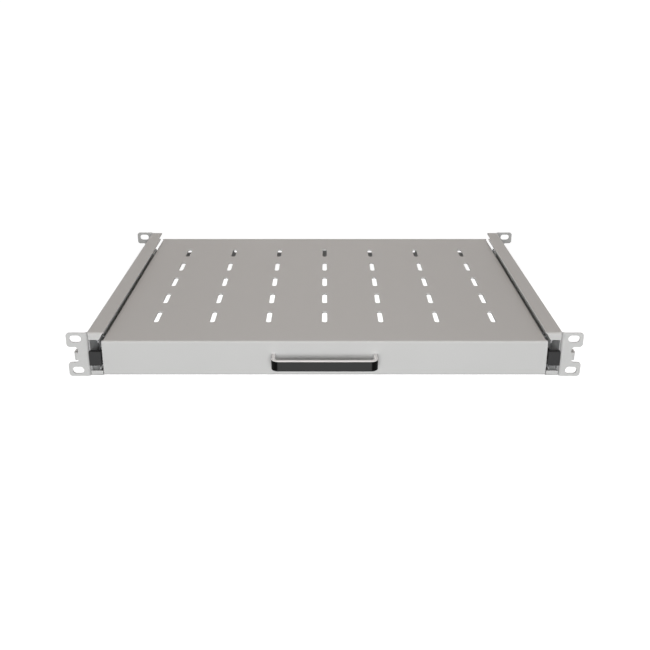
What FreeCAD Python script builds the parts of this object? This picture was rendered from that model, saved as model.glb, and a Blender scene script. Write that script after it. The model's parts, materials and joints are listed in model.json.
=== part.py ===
"""Sliding rack shelf: a slotted tray on two ball-bearing telescopic slides between 19-inch rack rails.

Millimetres. +X is right seen from the front, -Y is the front, +Z is up. The origin is the middle of
the front ears' slot pattern, on the face that meets the rack posts.
"""
import FreeCAD, Part
import math
import os

from FreeCAD import Vector

# Rack interface: 19-inch ears, one unit high
EAR_TIP_WIDTH = 482.6
EAR_SLOT_EDGE_DISTANCE = 8.75
EAR_SLOT_SPACING_X = EAR_TIP_WIDTH - 2 * EAR_SLOT_EDGE_DISTANCE
EAR_SLOT_SPACING_Z = 31.75
EAR_HEIGHT = 43.7
EAR_LOBE_HEIGHT = 14.1
EAR_NOTCH_DEPTH = 10.1
EAR_WAIST_WIDTH = EAR_TIP_WIDTH - 2 * EAR_NOTCH_DEPTH
EAR_SLOT_LENGTH = 10.8
EAR_SLOT_WIDTH = 6.8
EAR_CORNER_RADIUS = 3.0
EAR_REACH = 18.5

# Hanging hook in the waist of each front ear
HOOK_HEIGHT = 7.5
HOOK_DROP = 2.0
HOOK_BEND_RADIUS = 2.0
HOOK_REACH_BACK = 9.0
HOOK_OFFSET = 3.5
HOOK_THROAT_WIDTH = 2.6
HOOK_THROAT_DEPTH = 2.2

# Side rails
RAIL_WIDTH = EAR_TIP_WIDTH - 2 * EAR_REACH
RAIL_DEPTH = 350.0
RAIL_GAUGE = 1.5
RAIL_BEND_RADIUS = 1.2
RAIL_FLANGE_WIDTH = 16.4
RAIL_LOWER_FLANGE_WIDTH = 13.5
FLANGE_RELIEF_LENGTH = 30.0
FLANGE_RELIEF_WIDTH = 3.0
CORNER_RELIEF = 0.8
UPPER_LIP_CLEARANCE = 1.3
UPPER_LIP_SLANT = 4.2
LOWER_LIP_CLEARANCE = 0.7

# Telescopic slides
SLIDE_SHORTFALL = 50.0
SLIDE_LENGTH = RAIL_DEPTH - SLIDE_SHORTFALL
SLIDE_HEIGHT = 33.0
SLIDE_THICKNESS = 12.7
SLIDE_DROP = 1.9
MOVING_SETBACK = 30.0
MEMBER_GAUGE = 1.0
MEMBER_BEND_RADIUS = 1.2
OUTER_MEMBER_WIDTH = 9.5
MIDDLE_MEMBER_REACH = 10.4
MIDDLE_WEB_GAP = 1.1
MIDDLE_RACE_SLOPE = 42.5
MEMBER_RUNNING_GAP = 0.6
BALL_DIAMETER = 3.0
RACE_CLEARANCE = 0.25
BALLS_PER_ROW = 4
RETAINER_LENGTH = 96.0
RETAINER_GAUGE = 0.4
RETAINER_GRIP = 0.6
POCKET_CLEARANCE = 0.1

# Plastic stops of the slides
STOP_CLEARANCE = 0.3
STOP_HEIGHT = 13.8
STOP_HEAD_WIDTH = SLIDE_THICKNESS - MEMBER_GAUGE - 2 * STOP_CLEARANCE
STOP_HEAD_THICKNESS = 4.5
STOP_HEAD_PROUD = 1.5
STOP_STEM_HEIGHT = 8.0
STOP_STEM_WIDTH = 3.0
STOP_PLUG_LENGTH = 12.0
BUFFER_LENGTH = 12.0
BUFFER_FACE_HEIGHT = 32.0
BUFFER_NOTCH_DEPTH = 4.0
BUFFER_NOTCH_HEIGHT = 6.0

# Tray
TRAY_WIDTH = RAIL_WIDTH - 2 * (RAIL_GAUGE + SLIDE_THICKNESS)
TRAY_DEPTH = RAIL_DEPTH + RAIL_GAUGE
TRAY_GAUGE = 1.5
TRAY_BEND_RADIUS = 0.5
TRAY_TOP_DROP = 8.2
FRONT_PANEL_HEIGHT = 34.6
FRONT_LIP_DEPTH = 10.0
SIDE_FLANGE_HEIGHT = 30.0
REAR_FLANGE_HEIGHT = 29.0
TRAY_CORNER_GAP = 1.0

# Ventilation slots of the tray
VENT_COLUMNS = 7
VENT_ROWS = 5
VENT_PITCH = 55.5
VENT_LENGTH = 30.0
VENT_WIDTH = 5.0

# Cable windows of the rear flange
WINDOW_WIDTH = 66.0
WINDOW_HEIGHT = 12.0
WINDOW_PITCH = 81.0
WINDOW_END_MARGIN = 10.1
WINDOW_INNER_X = TRAY_WIDTH / 2 - WINDOW_END_MARGIN - WINDOW_WIDTH / 2 - WINDOW_PITCH
WINDOW_TOP_MARGIN = 6.5
WINDOW_CORNER_RADIUS = 1.5

# Pull handle
HANDLE_SPACING = 95.2
HANDLE_HEIGHT = 10.2
HANDLE_THICKNESS = 5.2
HANDLE_LEG_WIDTH = 3.6
HANDLE_PROJECTION = 20.0
HANDLE_CORNER_RADIUS = 7.0
HANDLE_INNER_RADIUS = 3.0
HANDLE_EDGE_RADIUS = 0.8

# Fasteners
RIVET_DIAMETER = 4.0
RIVET_HEAD_DIAMETER = 8.0
RIVET_HEAD_HEIGHT = 1.5
RIVET_SINK_DIAMETER = 6.0
RIVET_TAIL_DIAMETER = 6.4
RIVET_TAIL_HEIGHT = 1.2
RIVETS_PER_SLIDE = 3
RIVET_END_DISTANCE = 40.0
HANDLE_SCREW_DIAMETER = 2.0
HANDLE_SCREW_HEAD_DIAMETER = 5.5
HANDLE_SCREW_HEAD_HEIGHT = 2.0
HANDLE_SCREW_DEPTH = 11.0
HOLE_CLEARANCE = 0.1

# Places that follow from the sizes above
ear_top = EAR_HEIGHT / 2
rail_outer = RAIL_WIDTH / 2
rail_inner = rail_outer - RAIL_GAUGE
tray_half = TRAY_WIDTH / 2
tray_top = ear_top - TRAY_TOP_DROP
tray_front = -RAIL_GAUGE
tray_rear = tray_front + TRAY_DEPTH
panel_middle = tray_top - FRONT_PANEL_HEIGHT / 2
slide_middle = -SLIDE_DROP
stop_front = tray_front - STOP_HEAD_PROUD
slide_front = stop_front + STOP_HEAD_THICKNESS + STOP_CLEARANCE
slide_rear = slide_front + SLIDE_LENGTH
moving_front = slide_front + MOVING_SETBACK
moving_rear = slide_rear - BUFFER_LENGTH - STOP_CLEARANCE
moving_length = moving_rear - moving_front

# Cross-section of the slides: u runs inwards from the rail's web, z up from the slide's middle
ball_radius = BALL_DIAMETER / 2
race_radius = ball_radius + RACE_CLEARANCE + MEMBER_GAUGE / 2
outer_web_u = MEMBER_GAUGE / 2
outer_lip_u = OUTER_MEMBER_WIDTH - MEMBER_GAUGE / 2
outer_flange_z = SLIDE_HEIGHT / 2 - MEMBER_GAUGE / 2
outer_ball_u = outer_lip_u - race_radius
outer_ball_z = outer_flange_z - race_radius
middle_web_u = MEMBER_GAUGE + MIDDLE_WEB_GAP + MEMBER_GAUGE / 2
middle_lip_u = MIDDLE_MEMBER_REACH - MEMBER_GAUGE / 2
middle_flange_z = outer_ball_z - race_radius
inner_ball_u = middle_lip_u - race_radius
inner_ball_z = middle_flange_z - race_radius
inner_web_u = SLIDE_THICKNESS - MEMBER_GAUGE / 2
inner_wing_u = inner_ball_u - race_radius
inner_flange_z = inner_ball_z - race_radius


def unit(a, b):
    """Unit direction from point a to point b in a section plane."""
    length = math.hypot(b[0] - a[0], b[1] - a[1])
    return ((b[0] - a[0]) / length, (b[1] - a[1]) / length)


def along(point, direction, distance):
    return (point[0] + direction[0] * distance, point[1] + direction[1] * distance)


def left_of(direction):
    return (-direction[1], direction[0])


def corner_bend(before, corner, after, radius):
    """Start, end, centre and turning sense of an arc that rounds a corner."""
    inward = unit(before, corner)
    outward = unit(corner, after)
    cross = inward[0] * outward[1] - inward[1] * outward[0]
    dot = inward[0] * outward[0] + inward[1] * outward[1]
    turn = math.atan2(cross, dot)
    tangent = radius * math.tan(abs(turn) / 2)
    sense = math.copysign(1.0, turn)
    start = along(corner, inward, -tangent)
    end = along(corner, outward, tangent)
    centre = along(start, left_of(inward), sense * radius)
    return start, end, centre, sense


def section_edges(stations, place):
    """Edges through stations: a point is reached by a line, a (middle, end) pair by an arc."""
    edges = []
    last = stations[0]
    for station in stations[1:]:
        if isinstance(station[0], tuple):
            middle, end = station
            edges.append(Part.Arc(place(*last), place(*middle), place(*end)).toShape())
        else:
            end = station
            if math.dist(last, end) > 1e-6:
                edges.append(Part.LineSegment(place(*last), place(*end)).toShape())
        last = end
    return edges


def strip_side(points, radii, offset):
    """Stations along one side of a bent strip, at an offset to the left of its centre line."""
    first = unit(points[0], points[1])
    stations = [along(points[0], left_of(first), offset)]
    for index in range(1, len(points) - 1):
        before, corner, after = points[index - 1:index + 2]
        radius = radii[index - 1]
        start, end, centre, sense = corner_bend(before, corner, after, radius)
        stations.append(along(start, left_of(unit(before, corner)), offset))
        middle = along(centre, unit(centre, corner), radius - sense * offset)
        stations.append((middle, along(end, left_of(unit(corner, after)), offset)))
    last = unit(points[-2], points[-1])
    stations.append(along(points[-1], left_of(last), offset))
    return stations


def bent_strip(points, radii, gauge, place):
    """Face of a sheet section: a centre line with bend radii at its corners, gauge thick."""
    left = section_edges(strip_side(points, radii, gauge / 2), place)
    right = section_edges(strip_side(points, radii, -gauge / 2), place)
    first_cap = Part.LineSegment(left[0].firstVertex().Point, right[0].firstVertex().Point).toShape()
    last_cap = Part.LineSegment(left[-1].lastVertex().Point, right[-1].lastVertex().Point).toShape()
    edges = Part.__sortEdges__(left + right + [first_cap, last_cap])
    return Part.Face(Part.Wire(edges))


def rounded_face(points, radii, place):
    """Face of a closed outline with its corners rounded, a radius of 0 leaving one sharp."""
    stations = []
    count = len(points)
    for index, corner in enumerate(points):
        if radii[index] == 0:
            stations.append(corner)
            continue
        before = points[index - 1]
        after = points[(index + 1) % count]
        start, end, centre, _ = corner_bend(before, corner, after, radii[index])
        stations.append(start)
        stations.append((along(centre, unit(centre, corner), radii[index]), end))
    stations.append(stations[0])
    return Part.Face(Part.Wire(section_edges(stations, place)))


def rectangle(a_low, a_high, b_low, b_high):
    return [(a_low, b_low), (a_high, b_low), (a_high, b_high), (a_low, b_high)]


def rounded_slot(a, b, length, width, place, depth):
    """Prism of a slot with half-round ends, its length along the section's first axis."""
    flat = (length - width) / 2
    radius = width / 2
    stations = [
        (a - flat, b - radius),
        (a + flat, b - radius),
        ((a + flat + radius, b), (a + flat, b + radius)),
        (a - flat, b + radius),
        ((a - flat - radius, b), (a - flat, b - radius)),
    ]
    return Part.Face(Part.Wire(section_edges(stations, place))).extrude(depth)


def box(x_range, y_range, z_range):
    low = Vector(x_range[0], y_range[0], z_range[0])
    sides = [high - base for base, high in (x_range, y_range, z_range)]
    return Part.makeBox(sides[0], sides[1], sides[2], low)


def mirrored(shape):
    """The right-hand copy of a left-hand shape."""
    return shape.mirror(Vector(0, 0, 0), Vector(1, 0, 0))


def turned(radii_and_heights, base, direction):
    """Solid of revolution from (height, radius) stations along a direction."""
    outline = [Vector(0, 0, radii_and_heights[0][0])]
    outline += [Vector(radius, 0, height) for height, radius in radii_and_heights]
    outline += [Vector(0, 0, radii_and_heights[-1][0])]
    face = Part.Face(Part.makePolygon(outline + [outline[0]]))
    solid = face.revolve(Vector(0, 0, 0), Vector(0, 0, 1), 360)
    solid.Placement = FreeCAD.Placement(base, FreeCAD.Rotation(Vector(0, 0, 1), direction))
    return solid


def spread(first, last, count):
    return [first + (last - first) * index / (count - 1) for index in range(count)]


def reach_height(y):
    """Section plane across the left rail: distance out from the middle, and height."""
    return lambda reach, z: Vector(-reach, y, z)


def reach_depth(z):
    """Plan of the left rail: distance out from the middle, and depth."""
    return lambda reach, y: Vector(-reach, y, z)


def depth_height(x):
    """Section plane from front to back: depth and height."""
    return lambda y, z: Vector(x, y, z)


def slide_section(y):
    """Section plane of the left slide."""
    return lambda u, z: Vector(-rail_inner + u, y, slide_middle + z)


rivet_places = spread(moving_front + RIVET_END_DISTANCE, moving_rear - RIVET_END_DISTANCE, RIVETS_PER_SLIDE)


# Rails
def ear_outline_prism(y_low, y_high):
    """Two lobes with a waist between them, seen from the front."""
    tip = EAR_TIP_WIDTH / 2
    waist = EAR_WAIST_WIDTH / 2
    lobe = ear_top - EAR_LOBE_HEIGHT
    inner = rail_inner - RAIL_GAUGE
    points = [(inner, -ear_top), (tip, -ear_top), (tip, -lobe), (waist, -lobe),
              (waist, lobe), (tip, lobe), (tip, ear_top), (inner, ear_top)]
    radii = [0] + [EAR_CORNER_RADIUS] * 6 + [0]
    face = rounded_face(points, radii, reach_height(y_low))
    prism = face.extrude(Vector(0, y_high - y_low, 0))
    for z in (-EAR_SLOT_SPACING_Z / 2, EAR_SLOT_SPACING_Z / 2):
        prism = prism.cut(rounded_slot(EAR_SLOT_SPACING_X / 2, z, EAR_SLOT_LENGTH, EAR_SLOT_WIDTH,
                                       reach_height(y_low), Vector(0, y_high - y_low, 0)))
    return prism


def ear(plate_y, web_y):
    """Ear plate folded out of the rail's web: plate_y is its middle plane, web_y where the web goes on."""
    web = rail_outer - RAIL_GAUGE / 2
    points = [(web, web_y), (web, plate_y), (EAR_TIP_WIDTH / 2, plate_y)]
    bend = RAIL_BEND_RADIUS + RAIL_GAUGE / 2
    face = bent_strip(points, [bend], RAIL_GAUGE, reach_depth(-ear_top))
    plate = face.extrude(Vector(0, 0, EAR_HEIGHT))
    y_low = min(plate_y, web_y) - RAIL_GAUGE
    y_high = max(plate_y, web_y) + RAIL_GAUGE
    return plate.common(ear_outline_prism(y_low, y_high))


def hanging_hook():
    """Tongue folded back out of the waist, with a throat that drops over the edge of the post's hole."""
    plate_y = -RAIL_GAUGE / 2
    tongue = EAR_WAIST_WIDTH / 2 + HOOK_OFFSET
    root = EAR_WAIST_WIDTH / 2 - HOOK_BEND_RADIUS
    points = [(root, plate_y), (tongue, plate_y), (tongue, HOOK_REACH_BACK)]
    bend = HOOK_BEND_RADIUS + RAIL_GAUGE / 2
    low = -HOOK_DROP - HOOK_HEIGHT / 2
    face = bent_strip(points, [bend], RAIL_GAUGE, reach_depth(low))
    hook = face.extrude(Vector(0, 0, HOOK_HEIGHT))
    throat_front = HOOK_BEND_RADIUS
    throat = box((-tongue - RAIL_GAUGE, -tongue + RAIL_GAUGE),
                 (throat_front, throat_front + HOOK_THROAT_WIDTH),
                 (low - 1, low + HOOK_THROAT_DEPTH))
    return hook.cut(throat)


def flange_lip(edge, flange_z, lip_z, rear):
    """Front end of a flange, folded over in front of the slide's end."""
    plate_y = -RAIL_GAUGE / 2
    bend = RAIL_BEND_RADIUS + RAIL_GAUGE / 2
    points = [(rear, flange_z), (plate_y, flange_z), (plate_y, lip_z)]
    face = bent_strip(points, [bend], RAIL_GAUGE, depth_height(-edge))
    return face.extrude(Vector(edge + CORNER_RELIEF - rail_inner, 0, 0))


def left_rail():
    """Web with an upper and a lower flange in one bent sheet, with a slotted ear folded out at each end."""
    web = rail_outer - RAIL_GAUGE / 2
    bend = RAIL_BEND_RADIUS + RAIL_GAUGE / 2
    flange_z = ear_top - RAIL_GAUGE / 2
    upper_edge = rail_outer - RAIL_FLANGE_WIDTH
    lower_edge = rail_outer - RAIL_LOWER_FLANGE_WIDTH
    front = RAIL_BEND_RADIUS
    rear = RAIL_DEPTH - RAIL_GAUGE - RAIL_BEND_RADIUS
    points = [(lower_edge, -flange_z), (web, -flange_z), (web, flange_z), (upper_edge, flange_z)]
    face = bent_strip(points, [bend, bend], RAIL_GAUGE, reach_height(front))
    rail = face.extrude(Vector(0, rear - front, 0))
    upper_lip_z = tray_top + UPPER_LIP_CLEARANCE
    lower_lip_z = slide_middle - middle_crest_top() - LOWER_LIP_CLEARANCE
    slant = [(upper_edge, ear_top), (upper_edge + UPPER_LIP_SLANT, upper_lip_z),
             (upper_edge + UPPER_LIP_SLANT, tray_top), (upper_edge - 1, tray_top), (upper_edge - 1, ear_top)]
    slant_face = rounded_face(slant, [0] * len(slant), reach_height(-2 * RAIL_GAUGE))
    upper_lip = flange_lip(upper_edge, flange_z, upper_lip_z, front)
    rail = rail.fuse(upper_lip.cut(slant_face.extrude(Vector(0, 4 * RAIL_GAUGE, 0))))
    rail = rail.fuse(flange_lip(lower_edge, -flange_z, lower_lip_z, front))
    rail = rail.fuse(ear(-RAIL_GAUGE / 2, front))
    rail = rail.fuse(ear(RAIL_DEPTH - RAIL_GAUGE / 2, rear))
    rail = rail.fuse(hanging_hook())
    relief = box((-upper_edge - FLANGE_RELIEF_WIDTH, -upper_edge + 1),
                 (RAIL_DEPTH - FLANGE_RELIEF_LENGTH, RAIL_DEPTH + 1),
                 (ear_top - 2 * RAIL_GAUGE, ear_top + 1))
    rail = rail.cut(relief)
    for y in rivet_places:
        hole = Part.makeCylinder(RIVET_DIAMETER / 2 + HOLE_CLEARANCE, 2 * RAIL_GAUGE,
                                 Vector(-rail_outer - RAIL_GAUGE / 2, y, slide_middle), Vector(1, 0, 0))
        rail = rail.cut(hole)
    return rail.removeSplitter()


# Slides
def closed_half(points, radii):
    """A section above the slide's middle, with its reflection below."""
    below = [(u, -z) for u, z in reversed(points)]
    return points + below, radii + list(reversed(radii))


def slide_bar(points, radii, gauge, y_low, length):
    full_points, full_radii = closed_half(points, radii)
    face = bent_strip(full_points, full_radii, gauge, slide_section(y_low))
    return face.extrude(Vector(0, length, 0))


def left_outer_member():
    """C-section fixed to the rail, its lips curled over the outer balls."""
    lip_end = middle_flange_z + MEMBER_GAUGE / 2 + MEMBER_RUNNING_GAP
    points = [(outer_lip_u, lip_end), (outer_lip_u, outer_flange_z), (outer_web_u, outer_flange_z)]
    bar = slide_bar(points, [race_radius, MEMBER_BEND_RADIUS], MEMBER_GAUGE, slide_front, SLIDE_LENGTH)
    for y in rivet_places:
        sink = turned([(0, RIVET_DIAMETER / 2 + HOLE_CLEARANCE),
                       (MEMBER_GAUGE, RIVET_SINK_DIAMETER / 2 + HOLE_CLEARANCE)],
                      Vector(-rail_inner, y, slide_middle), Vector(1, 0, 0))
        bar = bar.cut(sink)
    return bar


def middle_hairpin():
    """Corner where the middle member's sloped race folds back into its web."""
    slope = math.radians(MIDDLE_RACE_SLOPE)
    valley_u = outer_ball_u - race_radius * math.tan(slope / 2)
    crest_z = middle_flange_z + (valley_u - middle_web_u) * math.tan(slope)
    return valley_u, crest_z


def middle_crest_top():
    """Height of the middle member's upper edge above the slide's middle."""
    _, crest_z = middle_hairpin()
    slope = math.radians(MIDDLE_RACE_SLOPE)
    return crest_z - MEMBER_GAUGE * math.tan(math.pi / 4 + slope / 2) + 1.5 * MEMBER_GAUGE


def left_middle_member():
    """Waved C-section: a valley under the outer balls and a lip over the inner ones."""
    valley_u, crest_z = middle_hairpin()
    lip_end = inner_flange_z + MEMBER_GAUGE / 2 + MEMBER_RUNNING_GAP
    points = [(middle_lip_u, lip_end), (middle_lip_u, middle_flange_z),
              (valley_u, middle_flange_z), (middle_web_u, crest_z)]
    radii = [race_radius, race_radius, MEMBER_GAUGE]
    return slide_bar(points, radii, MEMBER_GAUGE, moving_front, moving_length)


def left_inner_member():
    """Section fixed to the tray, its wings turned out round the inner balls."""
    points = [(inner_wing_u, inner_ball_z), (inner_wing_u, inner_flange_z), (inner_web_u, inner_flange_z)]
    bar = slide_bar(points, [race_radius, MEMBER_BEND_RADIUS], MEMBER_GAUGE, moving_front, moving_length)
    for y in rivet_places:
        hole = Part.makeCylinder(RIVET_DIAMETER / 2 + HOLE_CLEARANCE, 2 * MEMBER_GAUGE,
                                 slide_section(y)(SLIDE_THICKNESS - 1.5 * MEMBER_GAUGE, 0), Vector(1, 0, 0))
        bar = bar.cut(hole)
    return bar


def retainer_places():
    """Front end of the ball retainers and the depths of their balls."""
    front = (moving_front + moving_rear - RETAINER_LENGTH) / 2
    pitch = RETAINER_LENGTH / BALLS_PER_ROW
    depths = [front + pitch * (index + 0.5) for index in range(BALLS_PER_ROW)]
    return front, depths


def retainer(web_u, flange_z, ball_u):
    """Thin C-section cage with a pocket round each ball, open on the lip's side."""
    front, depths = retainer_places()
    points = [(ball_u + RETAINER_GRIP, flange_z), (web_u, flange_z)]
    bar = slide_bar(points, [2 * RETAINER_GAUGE], RETAINER_GAUGE, front, RETAINER_LENGTH)
    for y in depths:
        pocket = Part.makeCylinder(ball_radius + POCKET_CLEARANCE, SLIDE_HEIGHT,
                                   slide_section(y)(ball_u, -SLIDE_HEIGHT / 2), Vector(0, 0, 1))
        bar = bar.cut(pocket)
    return bar


def left_outer_retainer():
    flange_z = (middle_crest_top() + outer_flange_z - MEMBER_GAUGE / 2) / 2
    web_u = MEMBER_GAUGE + MIDDLE_WEB_GAP / 2
    return retainer(web_u, flange_z, outer_ball_u)


def left_inner_retainer():
    flange_z = (inner_ball_z + middle_flange_z - MEMBER_GAUGE / 2) / 2
    web_u = (middle_web_u + inner_wing_u) / 2
    return retainer(web_u, flange_z, inner_ball_u)


def ball_rows(ball_u, ball_z):
    _, depths = retainer_places()
    balls = []
    for z in (-ball_z, ball_z):
        balls += [Part.makeSphere(ball_radius, slide_section(y)(ball_u, z)) for y in depths]
    return Part.makeCompound(balls)


def left_front_stop():
    """Stop: a head just proud of the front panel, on a stem that plugs into the inner member's channel."""
    head_low = panel_middle - slide_middle - STOP_HEIGHT / 2
    head_high_u = SLIDE_THICKNESS - MEMBER_GAUGE - STOP_CLEARANCE
    head_low_u = head_high_u - STOP_HEAD_WIDTH
    head = rounded_face(rectangle(head_low_u, head_high_u, head_low, head_low + STOP_HEIGHT),
                        [STOP_CLEARANCE] * 4, slide_section(stop_front))
    stop = head.extrude(Vector(0, STOP_HEAD_THICKNESS, 0))
    stem_high = SLIDE_THICKNESS - MEMBER_GAUGE
    stem_half = STOP_STEM_HEIGHT / 2
    stem_front = stop_front + STOP_HEAD_THICKNESS / 2
    stem = rounded_face(rectangle(stem_high - STOP_STEM_WIDTH, stem_high, -stem_half, stem_half),
                        [STOP_CLEARANCE] * 4, slide_section(stem_front))
    stem_length = moving_front + STOP_PLUG_LENGTH - stem_front
    return stop.fuse(stem.extrude(Vector(0, stem_length, 0))).removeSplitter()


def left_rear_buffer():
    """Plastic buffer at the rear of the outer member, with a face outside its lips and a catching notch."""
    half = inner_ball_z
    front = slide_rear - BUFFER_LENGTH
    face_low = OUTER_MEMBER_WIDTH + STOP_CLEARANCE
    block = rounded_face(rectangle(MEMBER_GAUGE, face_low + MEMBER_GAUGE, -half, half),
                         [MEMBER_GAUGE] * 4, slide_section(front))
    buffer_solid = block.extrude(Vector(0, BUFFER_LENGTH, 0))
    cover = rounded_face(rectangle(face_low, SLIDE_THICKNESS - STOP_CLEARANCE,
                                   -BUFFER_FACE_HEIGHT / 2, BUFFER_FACE_HEIGHT / 2),
                         [STOP_CLEARANCE] * 4, slide_section(front))
    buffer_solid = buffer_solid.fuse(cover.extrude(Vector(0, BUFFER_LENGTH, 0)))
    notch_low = slide_section(front)(MEMBER_GAUGE + MEMBER_BEND_RADIUS, -BUFFER_NOTCH_HEIGHT / 2)
    notch = box((notch_low.x, notch_low.x + SLIDE_THICKNESS), (front - 1, front + BUFFER_NOTCH_DEPTH),
                (notch_low.z, notch_low.z + BUFFER_NOTCH_HEIGHT))
    return buffer_solid.cut(notch).removeSplitter()


def left_rail_rivets():
    """Rivets from the rail into the outer member: domed outside, flush inside to clear the balls' cage."""
    head_rim = RIVET_HEAD_HEIGHT / 3
    stations = [(-RAIL_GAUGE - RIVET_HEAD_HEIGHT, RIVET_HEAD_DIAMETER / 4),
                (-RAIL_GAUGE - head_rim, RIVET_HEAD_DIAMETER / 2),
                (-RAIL_GAUGE, RIVET_HEAD_DIAMETER / 2),
                (-RAIL_GAUGE, RIVET_DIAMETER / 2),
                (0, RIVET_DIAMETER / 2),
                (MEMBER_GAUGE, RIVET_SINK_DIAMETER / 2)]
    rivets = [turned(stations, slide_section(y)(0, 0), Vector(1, 0, 0)) for y in rivet_places]
    return Part.makeCompound(rivets)


def left_tray_rivets():
    """Rivets from the tray's side flange into the inner member."""
    head_rim = RIVET_HEAD_HEIGHT / 3
    stations = [(-MEMBER_GAUGE - RIVET_TAIL_HEIGHT, RIVET_TAIL_DIAMETER / 2),
                (-MEMBER_GAUGE, RIVET_TAIL_DIAMETER / 2),
                (-MEMBER_GAUGE, RIVET_DIAMETER / 2),
                (TRAY_GAUGE, RIVET_DIAMETER / 2),
                (TRAY_GAUGE, RIVET_HEAD_DIAMETER / 2),
                (TRAY_GAUGE + head_rim, RIVET_HEAD_DIAMETER / 2),
                (TRAY_GAUGE + RIVET_HEAD_HEIGHT, RIVET_HEAD_DIAMETER / 4)]
    rivets = [turned(stations, slide_section(y)(SLIDE_THICKNESS, 0), Vector(1, 0, 0)) for y in rivet_places]
    return Part.makeCompound(rivets)


# Tray
def across_height(y):
    """Plane across the tray: side to side, and height."""
    return lambda x, z: Vector(x, y, z)


def tray_sheet():
    """Top plate with its front panel, side flanges and rear flange folded down, corners left open."""
    bend = TRAY_BEND_RADIUS + TRAY_GAUGE / 2
    fold = TRAY_BEND_RADIUS + TRAY_GAUGE
    top_z = tray_top - TRAY_GAUGE / 2
    front_y = tray_front + TRAY_GAUGE / 2
    rear_y = tray_rear - TRAY_GAUGE / 2
    panel_low = tray_top - FRONT_PANEL_HEIGHT + TRAY_GAUGE / 2
    across = Vector(2 * tray_half, 0, 0)
    front_points = [(front_y + FRONT_LIP_DEPTH, panel_low), (front_y, panel_low),
                    (front_y, top_z), (tray_front + fold + TRAY_CORNER_GAP, top_z)]
    front = bent_strip(front_points, [bend, bend], TRAY_GAUGE, depth_height(-tray_half)).extrude(across)
    rear_points = [(tray_rear - fold - TRAY_CORNER_GAP, top_z), (rear_y, top_z),
                   (rear_y, tray_top - REAR_FLANGE_HEIGHT)]
    rear = bent_strip(rear_points, [bend], TRAY_GAUGE, depth_height(-tray_half)).extrude(across)
    side_front = tray_front + fold + TRAY_CORNER_GAP
    side_rear = tray_rear - fold - TRAY_CORNER_GAP
    side_points = [(tray_half - TRAY_GAUGE / 2, tray_top - SIDE_FLANGE_HEIGHT),
                   (tray_half - TRAY_GAUGE / 2, top_z), (tray_half - fold, top_z)]
    side = bent_strip(side_points, [bend], TRAY_GAUGE, reach_height(side_front))
    side = side.extrude(Vector(0, side_rear - side_front, 0))
    plate = box((-tray_half + fold, tray_half - fold), (tray_front + fold, tray_rear - fold),
                (tray_top - TRAY_GAUGE, tray_top))
    return plate.multiFuse([front, rear, side, mirrored(side)]).removeSplitter()


def vent_cutters():
    """Grid of slots, long from front to back."""
    middle_y = (tray_front + tray_rear) / 2
    deep = Vector(0, 0, 3 * TRAY_GAUGE)
    cutters = []
    for column in range(VENT_COLUMNS):
        x = (column - (VENT_COLUMNS - 1) / 2) * VENT_PITCH
        for row in range(VENT_ROWS):
            y = middle_y + (row - (VENT_ROWS - 1) / 2) * VENT_PITCH
            place = lambda a, b: Vector(b, a, tray_top - 2 * TRAY_GAUGE)
            cutters.append(rounded_slot(y, x, VENT_LENGTH, VENT_WIDTH, place, deep))
    return cutters


def window_cutters():
    """Cable windows through the rear flange."""
    high = tray_top - WINDOW_TOP_MARGIN
    deep = Vector(0, 3 * TRAY_GAUGE, 0)
    cutters = []
    for side in (-1, 1):
        for index in range(2):
            x = side * (WINDOW_INNER_X + index * WINDOW_PITCH)
            corners = rectangle(x - WINDOW_WIDTH / 2, x + WINDOW_WIDTH / 2, high - WINDOW_HEIGHT, high)
            place = across_height(tray_rear - 2 * TRAY_GAUGE)
            face = rounded_face(corners, [WINDOW_CORNER_RADIUS] * 4, place)
            cutters.append(face.extrude(deep))
    return cutters


def hole_cutters():
    """Rivet holes in the side flanges and screw holes for the handle."""
    cutters = []
    for y in rivet_places:
        hole = Part.makeCylinder(RIVET_DIAMETER / 2 + HOLE_CLEARANCE, 3 * TRAY_GAUGE,
                                 Vector(-tray_half - TRAY_GAUGE, y, slide_middle), Vector(1, 0, 0))
        cutters += [hole, mirrored(hole)]
    for x in (-HANDLE_SPACING / 2, HANDLE_SPACING / 2):
        cutters.append(Part.makeCylinder(HANDLE_SCREW_DIAMETER / 2 + HOLE_CLEARANCE, 3 * TRAY_GAUGE,
                                         Vector(x, tray_front - TRAY_GAUGE, panel_middle), Vector(0, 1, 0)))
    return cutters


def shelf_tray():
    return tray_sheet().cut(vent_cutters() + window_cutters() + hole_cutters())


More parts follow.
